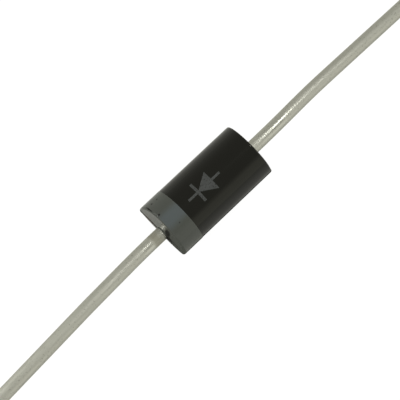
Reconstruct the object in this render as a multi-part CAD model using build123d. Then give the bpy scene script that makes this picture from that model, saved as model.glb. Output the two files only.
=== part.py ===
from build123d import *
import os
from math import radians, tan

# Axial transient voltage suppressor diode with wire leads, in millimetres.
# X runs along the body, from the banded cathode end (-X) to the anode end (+X). Z is up.
# The origin is on the surface that the diode lies on, under the middle of its body.

# Moulded body. The two halves of the mould close on a level plane through its axis.
body_diameter = 3.35
body_length = 6.54          # between the ridges at the ends, where the halves meet
end_draft = 5.5             # degrees, on each half of an end face
body_edge_radius = 0.10
flash_height = 0.02         # witness line of the closed mould, all round the body
flash_width = 0.05

# Cathode band, a coat of ink over the wall and the end face.
band_width = 1.35           # from the ridge of the cathode end
ink_thickness = 0.025

# Leads, tinned copper wire with an upset nail head at the inner end.
lead_diameter = 0.77
lead_length = 26.0          # outside the body, measured along X
lead_offset = -0.045        # along Y, from the body's axis to the leads and the chip
lead_end_chamfer = 0.05
head_diameter = 1.70
head_thickness = 0.45
head_rim_chamfer = 0.06
head_neck = 0.20            # length and height of the cone from the head down to the wire

# Routes of the leads. Each leaves the body straight, turns twice by a few degrees and runs
# down to the surface, where its cut end rests. Distances along X start at the body's end.
bend_radius = 50.0
first_bend = 1.5
cathode_second_bend = 5.5
cathode_second_side = -0.115
cathode_second_drop = 0.15
cathode_end_side = -0.98
anode_second_bend = 4.8
anode_second_side = 0.11
anode_second_drop = 0.12
anode_end_side = 0.0

# Chip and what holds it between the heads.
die_side = 1.65
die_thickness = 0.26
solder_diameter = 1.55
solder_thickness = 0.06
coating_diameter = 2.50     # silicone bead round the edge of the die
coating_flat = 0.30         # width of the bead's crown
coating_edge = 0.04         # thickness of the bead where it ends
coating_lap = 0.20          # how far the bead laps over the rim of each head

# What follows from these sizes.
body_radius = body_diameter / 2
body_end = body_length / 2
lead_radius = lead_diameter / 2
head_radius = head_diameter / 2
head_face = die_thickness / 2 + solder_thickness
head_back = head_face + head_thickness
axis_height = body_radius + ink_thickness
lead_line = Pos(0, lead_offset, axis_height)


def mould_octant(skin):
    """One eighth of the body, +X, +Y and +Z, grown by a skin, with its rim rounded."""
    radius = body_radius + skin
    foot = body_end + skin
    top = foot - body_diameter * tan(radians(end_draft))
    outline = Polyline((0, 0), (foot, 0), (top, body_diameter), (0, body_diameter), close=True)
    block = extrude(Plane.XZ * make_face(outline), amount=-radius)
    octant = block & Rot(0, 90, 0) * Cylinder(radius, 2 * foot)
    rim = octant.edges().filter_by(GeomType.LINE, reverse=True).sort_by(Axis.X)[-1]
    return fillet(rim, body_edge_radius + skin)


def mould_form(skin=0.0):
    """The outside of the body with its witness line, or of a coat that thick over it."""
    form = mould_octant(skin)
    for plane in (Plane.XZ, Plane.YZ, Plane.XY):
        form = form + mirror(form, plane)
    reach = flash_height + skin
    line = Box(body_length + 2 * reach, body_diameter + 2 * reach, flash_width + 2 * skin)
    line = fillet(line.edges().filter_by(Axis.Z), body_edge_radius + reach)
    return Pos(0, 0, axis_height) * (form + line)


def nail_head():
    """The upset head of the anode lead with its neck, turned about the X axis."""
    rim = head_radius - head_rim_chamfer
    neck_end = head_back + head_neck
    outline = Polyline(
        (head_face, 0),
        (head_face, rim),
        (head_face + head_rim_chamfer, head_radius),
        (head_back - head_rim_chamfer, head_radius),
        (head_back, rim),
        (head_back, lead_radius + head_neck),
        (neck_end, lead_radius),
        (neck_end, 0),
        close=True,
    )
    return revolve(make_face(outline), Axis.X)


def lead(end, second_bend, second_side, second_drop, end_side):
    """One lead with its head. end is -1 at the cathode and 1 at the anode."""
    start = (end * (head_face + head_back) / 2, 0, 0)
    route = FilletPolyline(
        start,
        (end * (body_end + first_bend), 0, 0),
        (end * (body_end + second_bend), second_side, -second_drop),
        (end * (body_end + lead_length), end_side, lead_radius - axis_height),
        radius=bend_radius,
    )
    section = Plane(origin=start, z_dir=(end, 0, 0)) * Circle(lead_radius)
    wire = sweep(section, path=route)
    cut_end = wire.faces().sort_by(Axis.X)[0 if end < 0 else -1]
    wire = chamfer(cut_end.edges(), lead_end_chamfer)
    head = nail_head() if end > 0 else mirror(nail_head(), Plane.YZ)
    return lead_line * (wire + head)


def solder(end):
    """The soft solder disc between the die and one head."""
    middle = end * (die_thickness + solder_thickness) / 2
    return lead_line * Pos(middle, 0, 0) * Rot(0, 90, 0) * Cylinder(solder_diameter / 2, solder_thickness)


def coating(core):
    """The silicone bead round the die, with the core of the stack left out of it."""
    lap_end = head_face + coating_lap
    lap_radius = head_radius + coating_edge
    crown_end = coating_flat / 2
    crown_radius = coating_diameter / 2
    outline = Polyline(
        (-lap_end, 0),
        (-lap_end, lap_radius),
        (-crown_end, crown_radius),
        (crown_end, crown_radius),
        (lap_end, lap_radius),
        (lap_end, 0),
        close=True,
    )
    return lead_line * revolve(make_face(outline), Axis.X) - core


parts = {}
parts["silicon_die"] = lead_line * Box(die_thickness, die_side, die_side)
parts["cathode_solder"] = solder(-1)
parts["anode_solder"] = solder(1)
parts["cathode_lead"] = lead(-1, cathode_second_bend, cathode_second_side, cathode_second_drop, cathode_end_side)
parts["anode_lead"] = lead(1, anode_second_bend, anode_second_side, anode_second_drop, anode_end_side)
parts["junction_coating"] = coating(list(parts.values()))
parts["moulded_body"] = mould_form() - list(parts.values())

banded_end = Box(2 * band_width, 2 * body_diameter, 2 * body_diameter, align=(Align.MAX, Align.CENTER, Align.CENTER))
banded_end = Pos(band_width - body_end, 0, axis_height) * banded_end
parts["cathode_band"] = (mould_form(ink_thickness) & banded_end) - mould_form() - parts["cathode_lead"]

os.makedirs("parts", exist_ok=True)
for name, solid in parts.items():
    solid.label = name
    export_step(solid, f"parts/{name}.step")
    print(name, len(solid.solids()), round(solid.volume, 4))
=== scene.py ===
import math

import bpy
from mathutils import Matrix, Quaternion, Vector


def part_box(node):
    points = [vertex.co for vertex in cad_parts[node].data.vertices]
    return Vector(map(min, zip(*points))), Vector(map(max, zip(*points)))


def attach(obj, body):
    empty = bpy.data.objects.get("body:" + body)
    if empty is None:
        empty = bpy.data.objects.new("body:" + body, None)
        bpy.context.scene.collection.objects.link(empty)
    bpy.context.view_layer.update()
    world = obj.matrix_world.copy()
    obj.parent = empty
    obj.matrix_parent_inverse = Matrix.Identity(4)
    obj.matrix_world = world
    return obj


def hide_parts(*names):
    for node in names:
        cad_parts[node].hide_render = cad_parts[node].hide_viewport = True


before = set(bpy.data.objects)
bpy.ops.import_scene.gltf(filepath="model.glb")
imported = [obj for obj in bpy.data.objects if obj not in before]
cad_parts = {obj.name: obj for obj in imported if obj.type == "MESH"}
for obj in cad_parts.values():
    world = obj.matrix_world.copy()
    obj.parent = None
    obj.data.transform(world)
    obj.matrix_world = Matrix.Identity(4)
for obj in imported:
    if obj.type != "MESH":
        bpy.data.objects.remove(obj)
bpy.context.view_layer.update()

# Silicon die. A square of diffused silicon, sawn from a wafer and metallised on both faces.
# It is sealed in the moulding, soldered between the heads of the two leads.
mm = 0.001
silicon_dark = "5c6068"
silicon_light = "7b7f86"
saw_mark_mm = 0.04


def linear(hex_colour):
    """An sRGB hex colour as the linear colour that a shader takes."""
    values = [int(hex_colour[i:i + 2], 16) / 255 for i in (0, 2, 4)]
    return [v / 12.92 if v <= 0.04045 else ((v + 0.055) / 1.055) ** 2.4 for v in values] + [1]


def add_node(tree, kind, inputs=(), **settings):
    """Adds a node, sets its properties, and sets or links each of its inputs."""
    node = tree.nodes.new(kind)
    for name, value in settings.items():
        setattr(node, name, value)
    for name, value in dict(inputs).items():
        if isinstance(value, bpy.types.NodeSocket):
            tree.links.new(value, node.inputs[name])
        else:
            node.inputs[name].default_value = value
    return node


def new_material(name):
    """An empty node material, and its tree."""
    material = bpy.data.materials.new(name)
    material.use_nodes = True
    material.node_tree.nodes.clear()
    return material, material.node_tree


def per_mm(size_mm):
    """The scale of a pattern whose features are about that size, in metre coordinates."""
    return 1 / (size_mm * mm)


def dress(node_name, material):
    """Gives a node of the frame that stays as it is one material."""
    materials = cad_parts[node_name].data.materials
    materials.clear()
    materials.append(material)


# Sawn silicon is grey and half metallic, with fine marks from the saw.
silicon, tree = new_material("sawn_silicon")
place = add_node(tree, "ShaderNodeTexCoord").outputs["Object"]
saw_marks = add_node(tree, "ShaderNodeTexNoise", {"Vector": place, "Scale": per_mm(saw_mark_mm)})
tint = add_node(tree, "ShaderNodeMix", {
    "Factor": saw_marks.outputs["Fac"], 6: linear(silicon_dark), 7: linear(silicon_light)},
    data_type="RGBA")
shader = add_node(tree, "ShaderNodeBsdfPrincipled", {
    "Base Color": tint.outputs[2], "Roughness": 0.35, "Metallic": 0.6})
add_node(tree, "ShaderNodeOutputMaterial", {"Surface": shader.outputs[0]})
dress("silicon_die", silicon)

# Solder discs. Soft solder, reflowed between each face of the die and the head of a lead.
# The surface is dull and slightly grainy where it froze.
solder_light = "a3a5a6"
solder_dark = "8b8d90"
solder_grain_mm = 0.05

solder, tree = new_material("reflowed_solder")
place = add_node(tree, "ShaderNodeTexCoord").outputs["Object"]
grain = add_node(tree, "ShaderNodeTexVoronoi", {"Vector": place, "Scale": per_mm(solder_grain_mm)})
tint = add_node(tree, "ShaderNodeMix", {
    "Factor": grain.outputs["Distance"], 6: linear(solder_light), 7: linear(solder_dark)},
    data_type="RGBA")
shader = add_node(tree, "ShaderNodeBsdfPrincipled", {
    "Base Color": tint.outputs[2], "Roughness": 0.45, "Metallic": 1.0})
add_node(tree, "ShaderNodeOutputMaterial", {"Surface": shader.outputs[0]})
for name in ("cathode_solder", "anode_solder"):
    dress(name, solder)

# Junction coating. A bead of white silicone, dropped on round the edge of the die and cured.
# It keeps moisture off the junction and is buried in the moulding.
silicone_white = "e4e3dc"
silicone_shade = "d5d4cc"
silicone_ripple_mm = 0.3

# Cured silicone is white and soft-looking, with a slight ripple.
silicone, tree = new_material("cured_silicone")
place = add_node(tree, "ShaderNodeTexCoord").outputs["Object"]
ripple = add_node(tree, "ShaderNodeTexNoise", {
    "Vector": place, "Scale": per_mm(silicone_ripple_mm)})
tint = add_node(tree, "ShaderNodeMix", {
    "Factor": ripple.outputs["Fac"], 6: linear(silicone_white), 7: linear(silicone_shade)},
    data_type="RGBA")
shader = add_node(tree, "ShaderNodeBsdfPrincipled", {
    "Base Color": tint.outputs[2], "Roughness": 0.4, "IOR": 1.41})
add_node(tree, "ShaderNodeOutputMaterial", {"Surface": shader.outputs[0]})
dress("junction_coating", silicone)

# Leads. Hot-dipped tin over drawn copper wire, upset to a nail head at the inner end and
# sheared at the outer end. Each is held by its head in the moulding and by the solder.
# Handling has bent both by a few degrees, and the cut ends show bare copper.
axis_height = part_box("junction_coating")[0].z / 2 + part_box("junction_coating")[1].z / 2
lead_offset = -0.045 * mm
lead_radius = 0.385 * mm
head_face = 0.19 * mm
head_back = 0.64 * mm
head_radius = 0.85 * mm
head_rim = 0.06 * mm
head_neck = 0.20 * mm
cut_chamfer = 0.05 * mm
bend_radius = 50 * mm
body_end = 3.27 * mm
lead_length = 26 * mm
first_bend = 1.5 * mm
ring_sides = 96
arc_steps = 10
# Each lead's direction along X, its second bend's X, Y and Z, and its cut end's Y.
lead_routes = {
    "cathode_lead": (-1, 5.5 * mm, -0.115 * mm, -0.15 * mm, -0.98 * mm),
    "anode_lead": (1, 4.8 * mm, 0.11 * mm, -0.12 * mm, 0.0),
}
tin_light = "b3b3a9"
tin_dark = "a7a79d"
tin_roughness = (0.34, 0.48)
streak_width_mm = 0.05      # wider than the real lines, so that they show
streak_length_mm = 1.6
streak_span = (0.35, 0.65)
pit_grey = "6a6a62"
pit_mm = 0.09
pit_span = (0.60, 0.68)
pit_share = 0.45
tin_relief = 0.002 * mm
# Each place's middle along X, and how far from there it starts and ends fading out.
rubbed_places = ((5.0 * mm, (0.375 * mm, 1.625 * mm)), (-4.40 * mm, (0.12 * mm, 0.52 * mm)))
rubbed_smoother = 0.17
stained_place = (-3.78 * mm, (0.09 * mm, 0.39 * mm))
stain_brown = "807c6a"
stain_rougher = 0.14
copper_light = "c4866a"
copper_dark = "a0684c"
copper_smear_mm = 0.06


def rounded(before, corner, after):
    """The points of the arc that rounds a corner of a route."""
    arrive = (corner - before).normalized()
    leave = (after - corner).normalized()
    angle = arrive.angle(leave)
    centre = corner + (leave - arrive).normalized() * bend_radius / math.cos(angle / 2)
    start = corner - arrive * bend_radius * math.tan(angle / 2) - centre
    axis = arrive.cross(leave).normalized()
    return [centre + Quaternion(axis, angle * i / arc_steps) @ start for i in range(arc_steps + 1)]


def mesh_object(name, points, faces, sharp_degrees=30):
    """A mesh object, smooth but for edges sharper than an angle."""
    mesh = bpy.data.meshes.new(name)
    mesh.from_pydata(points, [], faces)
    mesh.validate()
    mesh.shade_smooth()
    mesh.set_sharp_from_angle(angle=math.radians(sharp_degrees))
    piece = bpy.data.objects.new(name, mesh)
    bpy.context.scene.collection.objects.link(piece)
    return piece


def skin_rings(rings, closed=False):
    """The points of rings and the faces between them, with a cap at each end unless closed."""
    sides = len(rings[0])
    points = [p for ring in rings for p in ring]
    faces = []
    for i in range(len(rings) if closed else len(rings) - 1):
        low = i * sides
        high = (i + 1) % len(rings) * sides
        for j in range(sides):
            k = (j + 1) % sides
            faces.append((low + j, low + k, high + k, high + j))
    if not closed:
        faces.append(tuple(reversed(range(sides))))
        faces.append(tuple(range(len(points) - sides, len(points))))
    return points, faces


def lead_mesh(name):
    """The wire with its head, as rings along its route. Its last face is the cut end."""
    end, second_bend, side, drop, end_side = lead_routes[name]
    corner_1 = Vector((end * (body_end + first_bend), 0, 0))
    corner_2 = Vector((end * (body_end + second_bend), side, drop))
    tip = Vector((end * (body_end + lead_length), end_side, lead_radius - axis_height))
    along = Vector((end, 0, 0))
    stations = [(along * x, r) for x, r in (
        (head_face, head_radius - head_rim),
        (head_face + head_rim, head_radius),
        (head_back - head_rim, head_radius),
        (head_back, head_radius - head_rim),
        (head_back, lead_radius + head_neck),
        (head_back + head_neck, lead_radius),
        (body_end, lead_radius),
    )]
    route = rounded(Vector((0, 0, 0)), corner_1, corner_2) + rounded(corner_1, corner_2, tip)
    run = (tip - corner_2).normalized()
    stations += [(p, lead_radius) for p in route]
    stations += [(tip - run * cut_chamfer, lead_radius), (tip, lead_radius - cut_chamfer)]
    angles = [2 * math.pi * j / ring_sides for j in range(ring_sides)]
    rings = []
    for i, (point, radius) in enumerate(stations):
        before = stations[max(i - 1, 0)][0]
        after = stations[min(i + 1, len(stations) - 1)][0]
        heading = (after - before).normalized() if (after - before).length > 0 else along
        across = (Vector((0, 1, 0)) - heading * heading.y).normalized() * end
        up = heading.cross(across)
        centre = Vector((0, lead_offset, axis_height)) + point
        rings.append([centre + (across * math.cos(a) + up * math.sin(a)) * radius for a in angles])
    return mesh_object(name + "_wire", *skin_rings(rings))


def close_to(tree, value, middle, fade):
    """1 near the middle, 0 far from it. It fades between the two distances in fade."""
    away = add_node(tree, "ShaderNodeMath", {0: value, 1: middle}, operation="SUBTRACT")
    away = add_node(tree, "ShaderNodeMath", {0: away.outputs[0]}, operation="ABSOLUTE")
    return add_node(tree, "ShaderNodeMapRange", {
        "Value": away.outputs[0], "From Min": fade[0], "From Max": fade[1],
        "To Min": 1.0, "To Max": 0.0}, interpolation_type="SMOOTHSTEP").outputs[0]


# Tin on wire is satin. Drawing leaves fine lines along it, and dipping leaves small pits.
# One place on each lead is rubbed smooth, and the cathode's is stained beside the body.
tin, tree = new_material("tinned_copper_wire")
place = add_node(tree, "ShaderNodeTexCoord").outputs["Object"]
drawn = add_node(tree, "ShaderNodeMapping", {
    "Vector": place, "Scale": (streak_width_mm / streak_length_mm, 1, 1)})
streaks = add_node(tree, "ShaderNodeTexNoise", {
    "Vector": drawn.outputs[0], "Scale": per_mm(streak_width_mm), "Detail": 4.0}).outputs["Fac"]
pits = add_node(tree, "ShaderNodeTexNoise", {
    "Vector": place, "Scale": per_mm(pit_mm), "Detail": 3.0}).outputs["Fac"]
tint = add_node(tree, "ShaderNodeMix", {
    "Factor": streaks, 6: linear(tin_dark), 7: linear(tin_light)}, data_type="RGBA")
pitted = add_node(tree, "ShaderNodeMapRange", {
    "Value": pits, "From Min": pit_span[0], "From Max": pit_span[1],
    "To Min": 0.0, "To Max": pit_share})
tint = add_node(tree, "ShaderNodeMix", {
    "Factor": pitted.outputs[0], 6: tint.outputs[2], 7: linear(pit_grey)}, data_type="RGBA")
rough = add_node(tree, "ShaderNodeMapRange", {
    "Value": streaks, "From Min": streak_span[0], "From Max": streak_span[1],
    "To Min": tin_roughness[0], "To Max": tin_roughness[1]})
along_x = add_node(tree, "ShaderNodeSeparateXYZ", {0: place}).outputs["X"]
for rubbed_place in rubbed_places:
    rubbed = close_to(tree, along_x, *rubbed_place)
    rough = add_node(tree, "ShaderNodeMath", {
        0: rubbed, 1: -rubbed_smoother, 2: rough.outputs[0]}, operation="MULTIPLY_ADD")
stained = close_to(tree, along_x, *stained_place)
rough = add_node(tree, "ShaderNodeMath", {
    0: stained, 1: stain_rougher, 2: rough.outputs[0]}, operation="MULTIPLY_ADD")
streaky = add_node(tree, "ShaderNodeMath", {0: stained, 1: streaks}, operation="MULTIPLY")
tint = add_node(tree, "ShaderNodeMix", {
    "Factor": streaky.outputs[0], 6: tint.outputs[2], 7: linear(stain_brown)}, data_type="RGBA")
height = add_node(tree, "ShaderNodeMath", {0: streaks, 1: pits}, operation="ADD")
bump = add_node(tree, "ShaderNodeBump", {
    "Height": height.outputs[0], "Strength": 0.25, "Distance": tin_relief})
lengthwise = add_node(tree, "ShaderNodeCombineXYZ", {"X": 1.0})
shader = add_node(tree, "ShaderNodeBsdfPrincipled", {
    "Base Color": tint.outputs[2], "Metallic": 1.0, "Roughness": rough.outputs[0],
    "Anisotropic": 0.75, "Anisotropic Rotation": 0.25, "Tangent": lengthwise.outputs[0],
    "Normal": bump.outputs[0]})
add_node(tree, "ShaderNodeOutputMaterial", {"Surface": shader.outputs[0]})

# The shear leaves bright copper with smeared lines across it.
copper, tree = new_material("sheared_copper")
place = add_node(tree, "ShaderNodeTexCoord").outputs["Object"]
smears = add_node(tree, "ShaderNodeTexNoise", {"Vector": place, "Scale": per_mm(copper_smear_mm)})
tint = add_node(tree, "ShaderNodeMix", {
    "Factor": smears.outputs["Fac"], 6: linear(copper_light), 7: linear(copper_dark)},
    data_type="RGBA")
shader = add_node(tree, "ShaderNodeBsdfPrincipled", {
    "Base Color": tint.outputs[2], "Metallic": 1.0, "Roughness": 0.4})
add_node(tree, "ShaderNodeOutputMaterial", {"Surface": shader.outputs[0]})

for name in lead_routes:
    wire = lead_mesh(name)
    wire.data.materials.append(tin)
    wire.data.materials.append(copper)
    wire.data.polygons[-1].material_index = 1
    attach(wire, "root")
    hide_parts(name)

# Moulded body. Black epoxy, transfer-moulded round the soldered stack in a two-part mould.
# The end faces are drafted to leave the mould, the rims are rounded, and a fine witness line
# runs all round where the halves met.
body_radius = 1.675 * mm
end_slope = math.tan(math.radians(5.5))
rim_radius = 0.10 * mm
rim_steps = 8
flash_height = 0.02 * mm
flash_half = 0.025 * mm
mouth_width = 0.04 * mm     # rounded edge of the hole that a lead comes out of
mouth_degrees = (30, 60, 90)
epoxy_mouth_rise = -0.04 * mm
hole_depth = 0.5 * mm
hole_gap = 0.004 * mm
step_degrees = 2
first_degrees = 6
# Rings close to the ends of the wall and of the end face keep their shading flat up to there.
rim_margin = 0.02 * mm
face_shares = (0.98, 0.75, 0.5, 0.25, 0.02, 0.0)
epoxy_dark = "060605"
epoxy_light = "090908"
epoxy_tint = (1.0, 1.0, 0.86, 1.0)
epoxy_roughness = (0.07, 0.09)
epoxy_grain_mm = 0.06       # coarser than the real grain, so that it shows
epoxy_cloud_mm = 0.9
epoxy_relief = 0.002 * mm


def meridian(skin, steepness, raised, hole_radius, mouth_rise):
    """One end's outline as (x, radius) points, from the wall to the hole for the lead."""
    radius = body_radius + skin + raised
    foot = body_end + skin + raised
    rounding = rim_radius + skin + raised
    slope = end_slope * steepness
    centre_r = radius - rounding
    centre_x = foot - slope * centre_r - rounding * math.sqrt(1 + slope * slope)
    outline = [(centre_x - rim_margin, radius)]
    for i in range(rim_steps + 1):
        angle = math.pi / 2 + (math.atan(slope) - math.pi / 2) * i / rim_steps
        outline.append((centre_x + rounding * math.cos(angle),
                        centre_r + rounding * math.sin(angle)))
    mouth = hole_radius + mouth_width
    face_top = outline[-1][1]
    for share in face_shares:
        r = mouth + (face_top - mouth) * share
        outline.append((foot - slope * r, r))
    for degrees in mouth_degrees:
        angle = math.radians(degrees)
        outline.append((foot - slope * mouth + mouth_rise * (1 - math.cos(angle)),
                        mouth - mouth_width * math.sin(angle)))
    return outline


def mould_lines(skin):
    """Round the body, each line's angle, its height where it runs level, and its lift."""
    lines = []
    level = flash_half + skin
    steps = range(first_degrees, 181 - first_degrees, step_degrees)
    for start, sign in ((0, 1), (180, -1)):
        lines += [(math.radians(start + degrees), None, 0.0) for degrees in steps]
        for height, lift in (
                (level, 0.0), (level, flash_height), (-level, flash_height), (-level, 0.0)):
            lines.append((math.radians(start + 180), sign * height, lift))
    return lines


def mould_rings(skin, end, wall_x, mouth_rise):
    """Rings of points from a ring on the wall to the hole at one end."""
    columns = []
    for angle, level, lift in mould_lines(skin):
        cosine = math.cos(angle)
        sine = 0.0 if level is not None else math.sin(angle)
        hole = lead_radius + hole_gap
        hole_r = lead_offset * cosine + math.sqrt(hole ** 2 - (lead_offset * sine) ** 2)
        outline = [(wall_x(cosine), body_radius + skin + lift)]
        outline += meridian(skin, abs(sine), lift, hole_r, mouth_rise)
        column = []
        for x, r in outline:
            z = level if level is not None else r * sine
            y = math.copysign(math.sqrt(max(r * r - z * z, 0)), cosine)
            column.append(Vector((end * x, y, axis_height + z)))
        columns.append(column)
    return [list(ring) for ring in zip(*columns)]


def half_body(end):
    """Rings from the middle of the body to the bottom of the hole at one end."""
    rings = mould_rings(0.0, end, lambda cosine: 0.0, epoxy_mouth_rise)
    return rings + [[p - Vector((end * hole_depth, 0, 0)) for p in rings[-1]]]


body = mesh_object("epoxy_body", *skin_rings(half_body(-1)[::-1] + half_body(1)[1:]))

# The epoxy is glossy, as from a polished mould, with a fine even grain and slight clouds.
epoxy, tree = new_material("black_moulding_epoxy")
place = add_node(tree, "ShaderNodeTexCoord").outputs["Object"]
grain = add_node(tree, "ShaderNodeTexNoise", {
    "Vector": place, "Scale": per_mm(epoxy_grain_mm), "Detail": 4.0}).outputs["Fac"]
cloud = add_node(tree, "ShaderNodeTexNoise", {"Vector": place, "Scale": per_mm(epoxy_cloud_mm)})
tint = add_node(tree, "ShaderNodeMix", {
    "Factor": cloud.outputs["Fac"], 6: linear(epoxy_dark), 7: linear(epoxy_light)},
    data_type="RGBA")
rough = add_node(tree, "ShaderNodeMapRange", {
    "Value": grain, "To Min": epoxy_roughness[0], "To Max": epoxy_roughness[1]})
bump = add_node(tree, "ShaderNodeBump", {
    "Height": grain, "Strength": 0.03, "Distance": epoxy_relief})
shader = add_node(tree, "ShaderNodeBsdfPrincipled", {
    "Base Color": tint.outputs[2], "Roughness": rough.outputs[0], "IOR": 1.5,
    "Specular IOR Level": 0.25, "Specular Tint": epoxy_tint, "Normal": bump.outputs[0]})
add_node(tree, "ShaderNodeOutputMaterial", {"Surface": shader.outputs[0]})
body.data.materials.append(epoxy)
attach(body, "root")
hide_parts("moulded_body")

# Cathode band. Grey marking ink, rolled on over the wall and the end face and cured. It creeps
# a little way along the lead. It has black spots on the end face, most beside the lead on its -Y
# side, and specks where the black epoxy shows. A brown line of painted shade lies on the end face
# just above the witness line on the +Y side.
ink_thickness = 0.012 * mm
ink_mouth_rise = 0.05 * mm
band_edge = -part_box("cathode_band")[1].x
band_skew = 0.0105 * mm
ink_dark = "434541"
ink_light = "484b46"
ink_cloud_mm = 0.5
ink_relief = 0.02 * mm
ink_roughness = (0.06, 0.8)
# A painted highlight, lighter and bluish, along the top of the wall and likewise underneath.
painted_highlight_blue = "4e5455"
painted_highlight_middle = -0.08 * mm
painted_highlight_fade = (0.18 * mm, 0.66 * mm)
face_fade = (-3.12 * mm, -3.06 * mm)
dull_fade = (-0.38 * mm, -0.20 * mm)
spot_black = "141411"
# The brown of the painted shade line above the witness line.
painted_shade_brown = "2b1d17"
fray_mm = 0.10
fray_reach = 0.12 * mm
spot_fade = (0.75, 1.15)
# Centre and half sizes of each black spot on the ink, in mm from the middle of the body.
black_spots = (
    ((-3.19, -0.40, 0.78), (0.15, 0.19, 0.55)),
    ((-3.27, -0.57, 0.12), (0.14, 0.23, 0.34)),
    ((-3.28, -1.00, 0.30), (0.10, 0.42, 0.06)),
    ((-3.08, 1.08, 1.26), (0.04, 0.34, 0.30)),
    ((-2.76, 1.25, 1.15), (0.06, 0.06, 0.06)),
    ((-2.98, 0.46, 1.63), (0.07, 0.07, 0.07)),
    ((-2.47, -0.57, 1.60), (0.05, 0.04, 0.05)),
    ((-2.41, 1.24, 1.17), (0.04, 0.04, 0.04)),
)
# The line of painted shade on the end face, above the witness line on the +Y side: centre and half
# sizes in mm.
painted_shade_line = ((-3.28, 0.86, 0.12), (0.10, 0.52, 0.13))


def skewed_edge(cosine):
    """The band's edge on the wall, which runs round a little aslant."""
    return band_edge + band_skew * cosine


def spot_mask(tree, place, centre, sizes):
    """1 inside an ellipsoid in the body's frame, 0 outside, with a soft edge."""
    middle = Vector(centre) * mm + Vector((0, 0, axis_height))
    apart = add_node(tree, "ShaderNodeVectorMath", {0: place, 1: middle}, operation="SUBTRACT")
    scaled = add_node(tree, "ShaderNodeVectorMath", {
        0: apart.outputs[0], 1: [1 / (size * mm) for size in sizes]}, operation="MULTIPLY")
    distance = add_node(tree, "ShaderNodeVectorMath", {0: scaled.outputs[0]}, operation="LENGTH")
    return add_node(tree, "ShaderNodeMapRange", {
        "Value": distance.outputs["Value"], "From Min": spot_fade[0], "From Max": spot_fade[1],
        "To Min": 1.0, "To Max": 0.0}).outputs[0]


outer = mould_rings(ink_thickness, -1, skewed_edge, ink_mouth_rise)
inner = mould_rings(0.0, -1, skewed_edge, ink_mouth_rise)
points, faces = skin_rings(outer + inner[::-1], closed=True)
band = mesh_object("ink_band", points, [tuple(reversed(f)) for f in faces])

# Cured ink is glossy. A lighter, bluish painted highlight runs along the top of the wall. The ink
# is dull in its black spots and on the -Y half of the end face.
ink, tree = new_material("grey_marking_ink")
place = add_node(tree, "ShaderNodeTexCoord").outputs["Object"]
where = add_node(tree, "ShaderNodeSeparateXYZ", {0: place})
cloud = add_node(tree, "ShaderNodeTexNoise", {
    "Vector": place, "Scale": per_mm(ink_cloud_mm), "Detail": 3.0}).outputs["Fac"]
fray = add_node(tree, "ShaderNodeTexNoise", {"Vector": place, "Scale": per_mm(fray_mm)})
shift = add_node(tree, "ShaderNodeVectorMath", {
    0: fray.outputs["Color"], 1: (0.5, 0.5, 0.5)}, operation="SUBTRACT")
frayed = add_node(tree, "ShaderNodeVectorMath", {
    0: shift.outputs[0], 1: (fray_reach,) * 3, 2: place}, operation="MULTIPLY_ADD").outputs[0]
on_face = add_node(tree, "ShaderNodeMapRange", {
    "Value": where.outputs["X"], "From Min": face_fade[0], "From Max": face_fade[1],
    "To Min": 1.0, "To Max": 0.0}).outputs[0]
on_wall = add_node(tree, "ShaderNodeMath", {0: 1.0, 1: on_face}, operation="SUBTRACT")
# A painted highlight along the top of the wall, not on the end face.
painted_highlight = close_to(tree, where.outputs["Y"], painted_highlight_middle, painted_highlight_fade)
painted_highlight = add_node(tree, "ShaderNodeMath", {0: painted_highlight, 1: on_wall.outputs[0]}, operation="MULTIPLY")
black_share = 0.0
for centre, sizes in black_spots:
    spot = spot_mask(tree, frayed, centre, sizes)
    black_share = add_node(tree, "ShaderNodeMath", {0: spot, 1: black_share}, operation="MAXIMUM").outputs[0]
colour = add_node(tree, "ShaderNodeMix", {
    "Factor": cloud, 6: linear(ink_dark), 7: linear(ink_light)}, data_type="RGBA").outputs[2]
# On the ink's own colour go the painted highlight, the line of painted shade and the black spots.
for share, seen in (
        (painted_highlight.outputs[0], painted_highlight_blue),
        (spot_mask(tree, frayed, *painted_shade_line), painted_shade_brown),
        (black_share, spot_black)):
    colour = add_node(tree, "ShaderNodeMix", {
        "Factor": share, 6: colour, 7: linear(seen)}, data_type="RGBA").outputs[2]
dull_side = add_node(tree, "ShaderNodeMapRange", {
    "Value": where.outputs["Y"], "From Min": dull_fade[0], "From Max": dull_fade[1],
    "To Min": 1.0, "To Max": 0.0})
dull = add_node(tree, "ShaderNodeMath", {0: on_face, 1: dull_side.outputs[0]}, operation="MULTIPLY")
dull = add_node(tree, "ShaderNodeMath", {0: dull.outputs[0], 1: black_share}, operation="MAXIMUM")
rough = add_node(tree, "ShaderNodeMapRange", {
    "Value": dull.outputs[0], "To Min": ink_roughness[0], "To Max": ink_roughness[1]})
bump = add_node(tree, "ShaderNodeBump", {"Height": cloud, "Strength": 0.1, "Distance": ink_relief})
shader = add_node(tree, "ShaderNodeBsdfPrincipled", {
    "Base Color": colour, "Roughness": rough.outputs[0], "Specular IOR Level": 0.2,
    "Normal": bump.outputs[0]})
add_node(tree, "ShaderNodeOutputMaterial", {"Surface": shader.outputs[0]})
band.data.materials.append(ink)
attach(band, "root")
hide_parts("cathode_band")

# Printed mark. A diode's circuit symbol in grey ink, its bar toward the band. It is
# pad-printed on the wall, so it follows the curve, and the ink has pinholes.
mark_middle = -0.26 * mm
mark_turn = math.radians(-3.4)      # toward -Y from the top
mark_lift = 0.004 * mm
mark_rows = 14
mark_columns = 16
mark_grey = "3f4140"
pinhole_mm = 0.07
pinhole_span = (0.34, 0.44)
pinhole_share = 0.75
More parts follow.
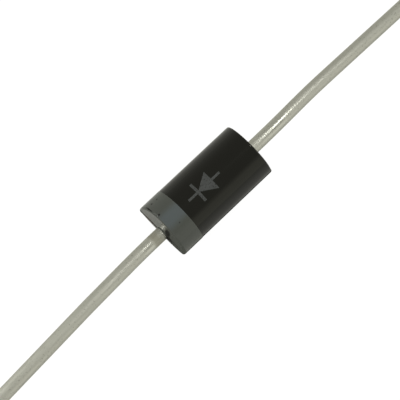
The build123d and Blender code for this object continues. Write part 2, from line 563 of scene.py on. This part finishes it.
# Each stroke's start, half width there, end and half width there, in mm along the body.
mark_strokes = (
    (-1.10, 0.065, -0.50, 0.065),
    (-0.50, 0.60, -0.34, 0.60),
    (-0.34, 0.05, 0.56, 0.60),
    (0.56, 0.065, 1.12, 0.065),
)
points, faces = [], []
for start, start_half, finish, finish_half in mark_strokes:
    first = len(points)
    for i in range(mark_columns + 1):
        share = i / mark_columns
        half = start_half + (finish_half - start_half) * share
        for j in range(mark_rows + 1):
            angle = mark_turn + (2 * j / mark_rows - 1) * half * mm / body_radius
            radius = body_radius + mark_lift
            points.append(((start + (finish - start) * share) * mm + mark_middle,
                           radius * math.sin(angle), axis_height + radius * math.cos(angle)))
    for i in range(mark_columns):
        for j in range(mark_rows):
            low = first + i * (mark_rows + 1) + j
            faces.append((low, low + mark_rows + 1, low + mark_rows + 2, low + 1))
mark = mesh_object("printed_diode_symbol", points, faces)
sheet = mark.modifiers.new("ink_film", "SOLIDIFY")
sheet.thickness = mark_lift
sheet.offset = -1.0

# Print ink dries matt and paler than the epoxy, which shows through the pinholes.
print_ink, tree = new_material("pale_grey_print_ink")
place = add_node(tree, "ShaderNodeTexCoord").outputs["Object"]
pinholes = add_node(tree, "ShaderNodeTexNoise", {"Vector": place, "Scale": per_mm(pinhole_mm)})
worn = add_node(tree, "ShaderNodeMapRange", {
    "Value": pinholes.outputs["Fac"], "From Min": pinhole_span[0], "From Max": pinhole_span[1],
    "To Min": pinhole_share, "To Max": 0.0})
tint = add_node(tree, "ShaderNodeMix", {
    "Factor": worn.outputs[0], 6: linear(mark_grey), 7: linear(spot_black)}, data_type="RGBA")
shader = add_node(tree, "ShaderNodeBsdfPrincipled", {
    "Base Color": tint.outputs[2], "Roughness": 0.45, "Specular IOR Level": 0.2})
add_node(tree, "ShaderNodeOutputMaterial", {"Surface": shader.outputs[0]})
mark.data.materials.append(print_ink)
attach(mark, "root")

# Floor. A sheet of white paper, larger than any view of the diode. The camera sees it nearly
# white, and it keeps the diode's soft shadow. Reflections see a painted glow on its -Y side,
# from 2.5 mm out from the diode and full beyond 8 mm.
floor_half = 1.5
floor_drop = 0.01 * mm
paper_white = "e0e0dc"
paper_share = 0.15
paper_glow = 1.12
gleam_share = 0.55
gleam_fade = (-8 * mm, -2.5 * mm)
floor = mesh_object("floor", [
    (-floor_half, -floor_half, -floor_drop), (floor_half, -floor_half, -floor_drop),
    (floor_half, floor_half, -floor_drop), (-floor_half, floor_half, -floor_drop)], [(0, 1, 2, 3)])

# Paper is matt and even, but for the painted glow that reflections see.
paper, tree = new_material("white_paper")
sight = add_node(tree, "ShaderNodeLightPath")
place = add_node(tree, "ShaderNodeTexCoord").outputs["Object"]
where = add_node(tree, "ShaderNodeSeparateXYZ", {0: place})
# A painted glow that only reflections see, on the -Y side of the paper.
painted_glow = add_node(tree, "ShaderNodeMapRange", {
    "Value": where.outputs["Y"], "From Min": gleam_fade[0], "From Max": gleam_fade[1],
    "To Min": gleam_share, "To Max": 0.0})
gleam = add_node(tree, "ShaderNodeMath", {
    0: sight.outputs["Is Glossy Ray"], 1: painted_glow.outputs[0]}, operation="MULTIPLY")
share = add_node(tree, "ShaderNodeMath", {
    0: sight.outputs["Is Camera Ray"], 1: 1 - paper_share, 2: gleam.outputs[0]},
    operation="MULTIPLY_ADD")
matt = add_node(tree, "ShaderNodeBsdfDiffuse", {"Color": linear(paper_white)})
glow = add_node(tree, "ShaderNodeEmission", {"Color": (1, 1, 1, 1), "Strength": paper_glow})
mixed = add_node(tree, "ShaderNodeMixShader", {
    0: share.outputs[0], 1: matt.outputs[0], 2: glow.outputs[0]})
add_node(tree, "ShaderNodeOutputMaterial", {"Surface": mixed.outputs[0]})
floor.data.materials.append(paper)

# Light. A pale room with a greyer ceiling, a white wall on the -Y side that fades out between
# 27 and 44 degrees up, two small lamps overhead and a large one on the +Y side. The camera
# sees the room as plain white.
horizon_level = 0.76
ceiling_level = 0.66
ceiling_fade = (0.0, 0.6)
wall_level = 1.25
wall_top_fade = (0.46, 0.70)
wall_side_fade = (-0.3, -0.1)
room_tint = (1.0, 0.995, 0.93, 1.0)
world = bpy.data.worlds.new("room")
bpy.context.scene.world = world
world.use_nodes = True
tree = world.node_tree
tree.nodes.clear()
seen = add_node(tree, "ShaderNodeLightPath").outputs["Is Camera Ray"]
direction = add_node(tree, "ShaderNodeSeparateXYZ", {
    0: add_node(tree, "ShaderNodeTexCoord").outputs["Generated"]})
room = add_node(tree, "ShaderNodeMapRange", {
    "Value": direction.outputs["Z"], "From Min": ceiling_fade[0], "From Max": ceiling_fade[1],
    "To Min": horizon_level, "To Max": ceiling_level})
below_top = add_node(tree, "ShaderNodeMapRange", {
    "Value": direction.outputs["Z"], "From Min": wall_top_fade[0], "From Max": wall_top_fade[1],
    "To Min": 1.0, "To Max": 0.0})
on_side = add_node(tree, "ShaderNodeMapRange", {
    "Value": direction.outputs["Y"], "From Min": wall_side_fade[0], "From Max": wall_side_fade[1],
    "To Min": 1.0, "To Max": 0.0})
wall = add_node(tree, "ShaderNodeMath", {
    0: below_top.outputs[0], 1: on_side.outputs[0]}, operation="MULTIPLY")
level = add_node(tree, "ShaderNodeMix", {0: wall.outputs[0], 2: room.outputs[0], 3: wall_level})
level = add_node(tree, "ShaderNodeMix", {0: seen, 2: level.outputs[0], 3: 1.0})
hue = add_node(tree, "ShaderNodeMix", {
    "Factor": seen, 6: room_tint, 7: (1, 1, 1, 1)}, data_type="RGBA")
shine = add_node(tree, "ShaderNodeBackground", {
    "Color": hue.outputs[2], "Strength": level.outputs[0]})
add_node(tree, "ShaderNodeOutputWorld", {"Surface": shine.outputs[0]})

# Each lamp's direction from the diode, its width, its length along X and its power.
lamps = {
    "lamp_anode_side": ((0.325, -0.04, 0.94), 0.12, 0.045, 0.75),
    "lamp_overhead": ((0.03, 0.0, 1.0), 0.06, 0.04, 0.5),
    "lamp_window": ((-0.36, 0.75, 0.55), 0.45, 0.14, 3.4),
}
lamp_distance = 1.0
for name, (toward, width, length, power) in lamps.items():
    light = bpy.data.lights.new(name, "AREA")
    light.shape = "RECTANGLE"
    light.size = length
    light.size_y = width
    light.energy = power
    toward = Vector(toward).normalized()
    across = (Vector((1, 0, 0)) - toward * toward.x).normalized()
    holder = bpy.data.objects.new(name, light)
    holder.matrix_world = Matrix.Translation(toward * lamp_distance) @ Matrix(
        (across, toward.cross(across), toward)).transposed().to_4x4()
    bpy.context.scene.collection.objects.link(holder)

# Camera. It looks down on the diode from the cathode's side, as the photograph does. The
# distances aim it a little to the left of the body and below it, in the picture.
camera_azimuth = math.radians(-44.33)
camera_elevation = math.radians(75.42)
camera_distance = 70 * mm
aim_left = 0.322 * mm
aim_below = 0.513 * mm
camera_lens = 118.6
camera_data = bpy.data.cameras.new("camera")
camera_data.lens = camera_lens
camera_data.clip_start = 1 * mm
camera_data.clip_end = 10
camera = bpy.data.objects.new("camera", camera_data)
bpy.context.scene.collection.objects.link(camera)
back = Vector((
    math.sin(camera_azimuth) * math.cos(camera_elevation),
    -math.cos(camera_azimuth) * math.cos(camera_elevation),
    math.sin(camera_elevation)))
turned = back.to_track_quat("Z", "Y")
right = turned @ Vector((1, 0, 0))
up = turned @ Vector((0, 1, 0))
body_centre = Vector((0, 0, axis_height))
camera.rotation_mode = "QUATERNION"
camera.rotation_quaternion = turned
camera.location = body_centre + back * camera_distance - right * aim_left - up * aim_below
bpy.context.scene.camera = camera
bpy.context.scene.view_settings.view_transform = "Standard"
